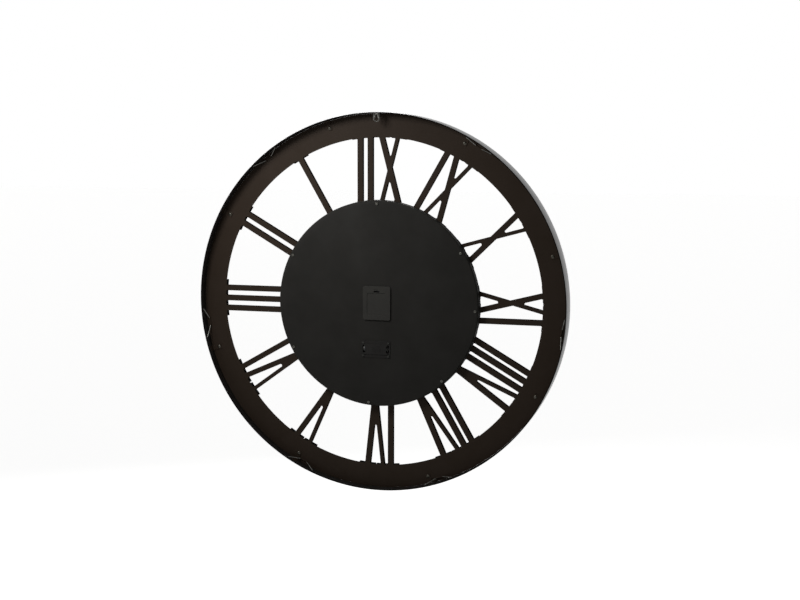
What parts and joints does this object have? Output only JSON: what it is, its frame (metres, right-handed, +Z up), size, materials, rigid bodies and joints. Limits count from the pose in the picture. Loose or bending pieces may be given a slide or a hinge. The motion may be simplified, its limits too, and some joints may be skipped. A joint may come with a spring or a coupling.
{
  "type": "wall clock",
  "caption": "Large open-work wall clock: deep metal rim, pierced plate with raised Roman numerals, rear pan over a battery movement, two spade hands and a keyhole hanger.",
  "frame": {"origin": "centre of the round entry hole of the hanger's keyhole, in the plane of the wall", "axes": "+Z up, the dial faces -Y, +Y points into the wall; the clock axis is 366 mm below the origin"},
  "size_m": [0.7599, 0.05, 0.76],
  "materials": {
    "brown_paint": "satin",
    "black_paint": "satin",
    "pan_paint": "satin",
    "bright_steel": "satin",
    "zinc_steel": "bright zinc plate",
    "black_plastic": "fine grain",
    "white_plastic": "smooth",
    "green_board": "satin",
    "copper_wire": "enamelled",
    "brass": "turned",
    "magnet": "ground",
    "black_rubber": "matte",
    "black_aluminium": "black satin paint",
    "cell_wrap": "plain wrap",
    "red_cover": "satin"
  },
  "bodies": {
    "clock": {"rim_band": "brown_paint", "numeral_plate": "brown_paint", "numeral_i": "black_paint", "numeral_ii": "black_paint", "numeral_iii": "black_paint", "numeral_iv": "black_paint", "numeral_v": "black_paint", "numeral_vi": "black_paint", "numeral_vii": "black_paint", "numeral_viii": "black_paint", "numeral_ix": "black_paint", "numeral_x": "black_paint", "numeral_xi": "black_paint", "numeral_xii": "black_paint", "plate_clips": "brown_paint", "clip_rivets": "brown_paint", "retaining_springs": "zinc_steel", "hanger_bracket": "bright_steel", "rear_pan": "pan_paint", "pan_standoffs": "bright_steel", "pan_screws": "zinc_steel", "movement_front_case": "black_plastic", "movement_back_case": "black_plastic", "threaded_stem": "brass", "train_bridge": "white_plastic", "circuit_board": "green_board", "stator": "bright_steel", "coil_bobbin": "white_plastic", "coil_winding": "copper_wire", "rubber_washer": "black_rubber", "brass_washer": "brass", "hex_nut": "brass", "battery_tray": "black_plastic", "tray_screws": "zinc_steel", "battery_cell": "cell_wrap", "spring_contact": "zinc_steel", "plate_contact": "zinc_steel", "red_lead": "red_cover", "black_lead": "black_rubber"},
    "cover": {"access_cover": "pan_paint"},
    "lid": {"battery_lid": "black_plastic"},
    "rotor": {"rotor_magnet": "magnet", "rotor_pinion": "white_plastic"},
    "fifth": {"fifth_wheel": "white_plastic"},
    "second": {"second_wheel": "white_plastic"},
    "third": {"third_wheel": "white_plastic"},
    "centre": {"centre_wheel": "white_plastic"},
    "minute": {"minute_arbor": "brass", "minute_hand": "black_aluminium", "hand_nut": "brass"},
    "motion": {"motion_wheel": "white_plastic"},
    "hour": {"hour_wheel": "white_plastic", "hour_hand": "black_aluminium"},
    "setter": {"set_knob": "white_plastic"}
  },
  "joints": [
    {"name": "minute_turn", "type": "hinge", "parent": "clock", "child": "minute", "pos_m": [0, -0.012, -0.366], "axis": [0, -1, 0], "continuous": true},
    {"name": "hour_turn", "type": "hinge", "parent": "clock", "child": "hour", "pos_m": [0, -0.012, -0.366], "axis": [0, -1, 0], "continuous": true},
    {"name": "motion_turn", "type": "hinge", "parent": "clock", "child": "motion", "pos_m": [0.006, -0.012, -0.37639], "axis": [0, -1, 0], "continuous": true},
    {"name": "set_turn", "type": "hinge", "parent": "clock", "child": "setter", "pos_m": [0.01929, -0.012, -0.37405], "axis": [0, -1, 0], "continuous": true},
    {"name": "rotor_turn", "type": "hinge", "parent": "clock", "child": "rotor", "pos_m": [-0.01249, -0.012, -0.35275], "axis": [0, -1, 0], "continuous": true},
    {"name": "fifth_turn", "type": "hinge", "parent": "clock", "child": "fifth", "pos_m": [-0.01488, -0.012, -0.35933], "axis": [0, -1, 0], "continuous": true},
    {"name": "second_turn", "type": "hinge", "parent": "clock", "child": "second", "pos_m": [-0.01613, -0.012, -0.36642], "axis": [0, -1, 0], "continuous": true},
    {"name": "third_turn", "type": "hinge", "parent": "clock", "child": "third", "pos_m": [-0.01103, -0.012, -0.37526], "axis": [0, -1, 0], "continuous": true},
    {"name": "centre_turn", "type": "hinge", "parent": "clock", "child": "centre", "pos_m": [0, -0.012, -0.366], "axis": [0, -1, 0], "continuous": true},
    {"name": "cover_tilt", "type": "hinge", "parent": "clock", "child": "cover", "pos_m": [0, -0.004, -0.3975], "axis": [-1, 0, 0], "range_deg": [0, 75]},
    {"name": "lid_lift", "type": "slide", "parent": "clock", "child": "lid", "axis": [0, 1, 0], "range_m": [0, 0.02]}
  ],
  "couplings": [
    {"joint": "motion_turn", "follows": "minute_turn", "ratio": -0.33333},
    {"joint": "hour_turn", "follows": "minute_turn", "ratio": 0.083333},
    {"joint": "set_turn", "follows": "minute_turn", "ratio": 0.66667},
    {"joint": "fifth_turn", "follows": "rotor_turn", "ratio": -0.16667},
    {"joint": "second_turn", "follows": "rotor_turn", "ratio": 0.033333},
    {"joint": "third_turn", "follows": "rotor_turn", "ratio": -0.0044444},
    {"joint": "centre_turn", "follows": "rotor_turn", "ratio": 0.00055556}
  ]
}
